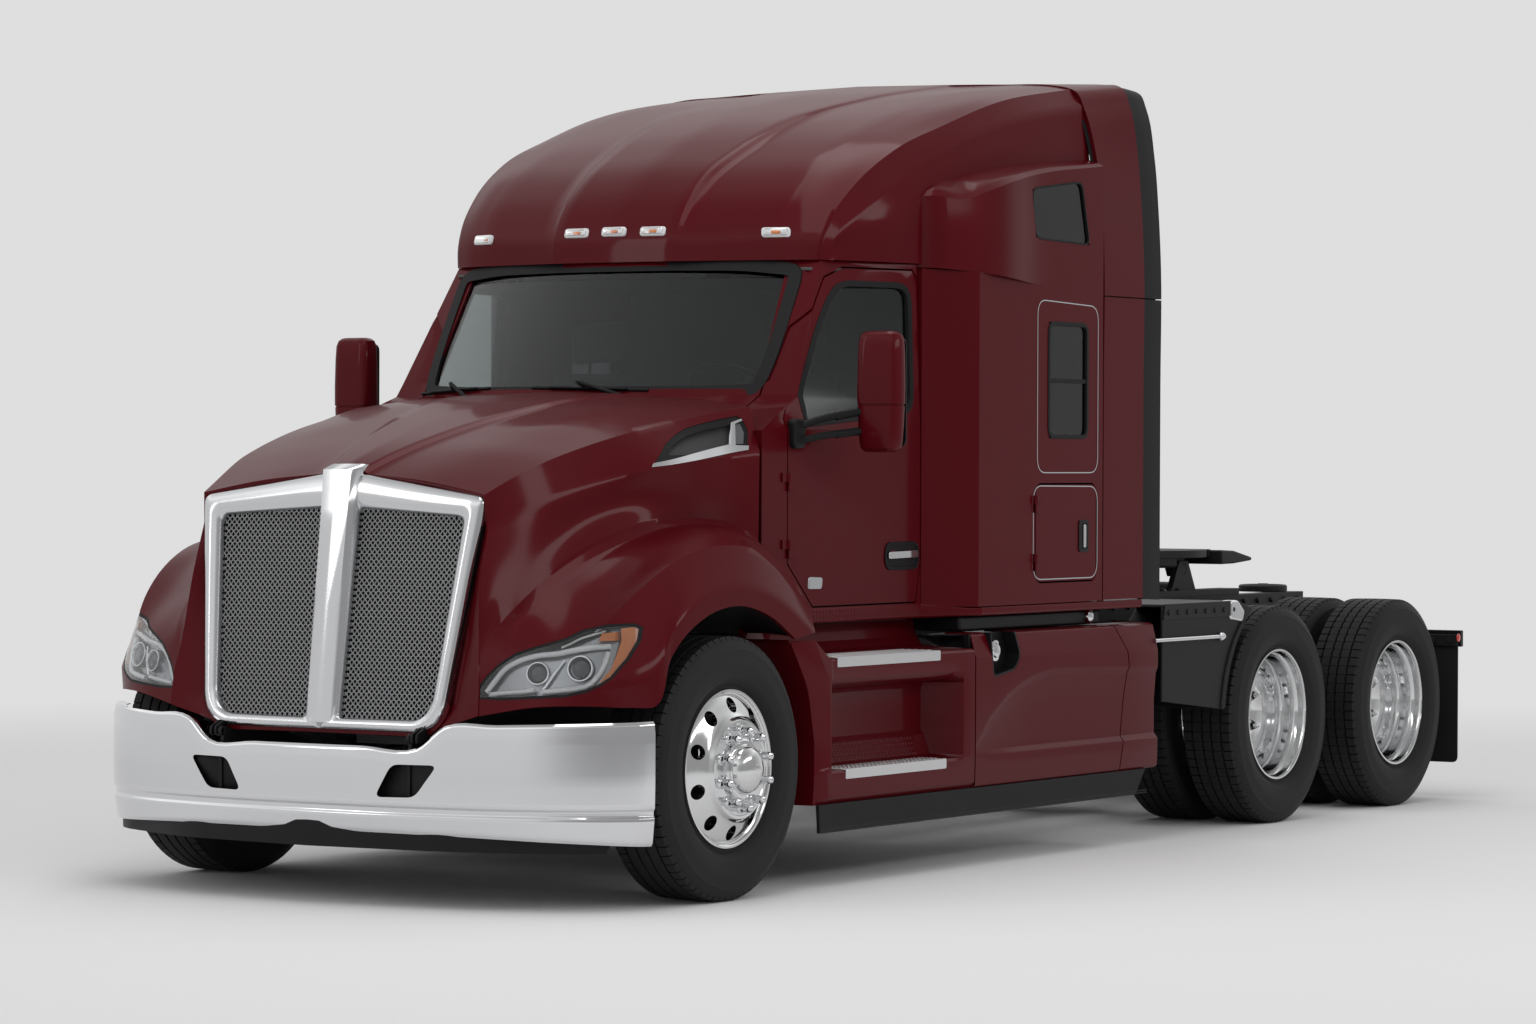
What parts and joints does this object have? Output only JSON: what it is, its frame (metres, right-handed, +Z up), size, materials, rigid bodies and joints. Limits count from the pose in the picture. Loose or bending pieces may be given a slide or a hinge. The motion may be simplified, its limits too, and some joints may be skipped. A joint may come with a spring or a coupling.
{
  "type": "semi truck tractor unit",
  "caption": "Conventional semi truck tractor with a raised-roof sleeper, tilting hood, opening doors and lockers, steered front wheels, twin drive wheels and a tilting coupling plate.",
  "frame": {"origin": "on the ground, in the middle of the truck's length and width", "axes": "+X is the truck's left side, +Y runs rearwards, +Z is up"},
  "size_m": [2.754, 7.621, 3.2949],
  "materials": {
    "maroon_paint": "deep maroon metallic under clear coat",
    "chrome": "bright chrome",
    "polished_aluminium": "mirror polished",
    "aluminium": "satin",
    "cooler_aluminium": "dull, finned",
    "frame_black": "satin black chassis paint",
    "cast_black": "painted casting",
    "engine_grey": "painted casting",
    "tyre": "clean black rubber",
    "black_rubber": "matte",
    "black_plastic": "fine grained",
    "interior_plastic": "grained",
    "seat_fabric": "woven",
    "tinted_glass": "tinted",
    "lamp_lens": "clear lens"
  },
  "bodies": {
    "chassis": {"frame_rails": "frame_black", "crossmembers": "frame_black", "front_axle": "cast_black", "drive_axles": "cast_black", "engine": "engine_grey", "radiator": "cooler_aluminium", "bumper": "chrome", "bumper_lip": "black_plastic", "cab_floor": "interior_plastic", "cab_front": "maroon_paint", "windshield": "tinted_glass", "sleeper_sides": "maroon_paint", "sleeper_back": "maroon_paint", "roof_cap": "maroon_paint", "extender_arch": "maroon_paint", "extender_flaps": "black_rubber", "sleeper_glass": "tinted_glass", "seats": "seat_fabric", "dashboard": "interior_plastic", "bunk_mattress": "seat_fabric", "lamps": "lamp_lens", "wipers": "black_plastic", "step_fairings": "maroon_paint", "step_treads": "aluminium", "tank_fairings": "maroon_paint", "fuel_tanks": "aluminium", "side_skirts": "black_rubber", "quarter_fenders": "black_plastic", "mudflaps": "black_rubber", "tail_bar": "frame_black", "fifth_wheel_base": "frame_black"},
    "hood": {"hood_shell": "maroon_paint", "grille_surround": "chrome", "grille_mesh": "chrome", "headlamps": "lamp_lens", "hood_vents": "black_plastic"},
    "tie_rod": {"tie_rod": "cast_black"},
    "coupling_plate": {"fifth_wheel_plate": "cast_black"},
    "door_left": {"door_left": "maroon_paint", "door_glass_left": "tinted_glass", "mirror_left": "maroon_paint"},
    "locker_left": {"locker_door_left": "maroon_paint"},
    "steering_left": {"knuckle_left": "cast_black"},
    "front_wheel_left": {"front_tyre_left": "tyre", "front_wheel_left": "polished_aluminium"},
    "first_drive_left": {"first_drive_tyres_left": "tyre", "first_drive_wheels_left": "polished_aluminium"},
    "second_drive_left": {"second_drive_tyres_left": "tyre", "second_drive_wheels_left": "polished_aluminium"},
    "door_right": {"door_right": "maroon_paint", "door_glass_right": "tinted_glass", "mirror_right": "maroon_paint"},
    "locker_right": {"locker_door_right": "maroon_paint"},
    "steering_right": {"knuckle_right": "cast_black"},
    "front_wheel_right": {"front_tyre_right": "tyre", "front_wheel_right": "polished_aluminium"},
    "first_drive_right": {"first_drive_tyres_right": "tyre", "first_drive_wheels_right": "polished_aluminium"},
    "second_drive_right": {"second_drive_tyres_right": "tyre", "second_drive_wheels_right": "polished_aluminium"}
  },
  "joints": [
    {"name": "hood_tilt", "type": "hinge", "parent": "chassis", "child": "hood", "pos_m": [0, -3.7535, 0.622], "axis": [1, 0, 0], "range_deg": [0, 60]},
    {"name": "coupling_tilt", "type": "hinge", "parent": "chassis", "child": "coupling_plate", "pos_m": [0, 2.4765, 1.13], "axis": [1, 0, 0], "range_deg": [-12, 12]},
    {"name": "door_left_swing", "type": "hinge", "parent": "chassis", "child": "door_left", "pos_m": [1.056, -2.1375, 1.6], "axis": [0, 0, -1], "range_deg": [0, 70]},
    {"name": "locker_left_swing", "type": "hinge", "parent": "chassis", "child": "locker_left", "pos_m": [1.228, -0.4795, 1.35], "axis": [0, 0, -1], "range_deg": [0, 95]},
    {"name": "steer_left", "type": "hinge", "parent": "chassis", "child": "steering_left", "pos_m": [0.985, -2.8535, 0.495], "axis": [0, 0, 1], "range_deg": [-38, 38]},
    {"name": "front_roll_left", "type": "hinge", "parent": "steering_left", "child": "front_wheel_left", "pos_m": [1.127, -2.8535, 0.495], "axis": [1, 0, 0], "continuous": true},
    {"name": "first_roll_left", "type": "hinge", "parent": "chassis", "child": "first_drive_left", "pos_m": [0.938, 1.8065, 0.495], "axis": [1, 0, 0], "continuous": true},
    {"name": "second_roll_left", "type": "hinge", "parent": "chassis", "child": "second_drive_left", "pos_m": [0.938, 3.0915, 0.495], "axis": [1, 0, 0], "continuous": true},
    {"name": "door_right_swing", "type": "hinge", "parent": "chassis", "child": "door_right", "pos_m": [-1.056, -2.1375, 1.6], "axis": [0, 0, 1], "range_deg": [0, 70]},
    {"name": "locker_right_swing", "type": "hinge", "parent": "chassis", "child": "locker_right", "pos_m": [-1.228, -0.4795, 1.35], "axis": [0, 0, 1], "range_deg": [0, 95]},
    {"name": "steer_right", "type": "hinge", "parent": "chassis", "child": "steering_right", "pos_m": [-0.985, -2.8535, 0.495], "axis": [0, 0, 1], "range_deg": [-38, 38]},
    {"name": "front_roll_right", "type": "hinge", "parent": "steering_right", "child": "front_wheel_right", "pos_m": [-1.127, -2.8535, 0.495], "axis": [1, 0, 0], "continuous": true},
    {"name": "first_roll_right", "type": "hinge", "parent": "chassis", "child": "first_drive_right", "pos_m": [-0.938, 1.8065, 0.495], "axis": [1, 0, 0], "continuous": true},
    {"name": "second_roll_right", "type": "hinge", "parent": "chassis", "child": "second_drive_right", "pos_m": [-0.938, 3.0915, 0.495], "axis": [1, 0, 0], "continuous": true},
    {"name": "tie_rod_turn", "type": "hinge", "parent": "steering_left", "child": "tie_rod", "pos_m": [0.985, -2.6635, 0.39], "axis": [0, 0, 1], "range_deg": [-38, 38]}
  ],
  "couplings": [
    {"joint": "steer_right", "follows": "steer_left", "ratio": 1},
    {"joint": "tie_rod_turn", "follows": "steer_left", "ratio": -1}
  ]
}
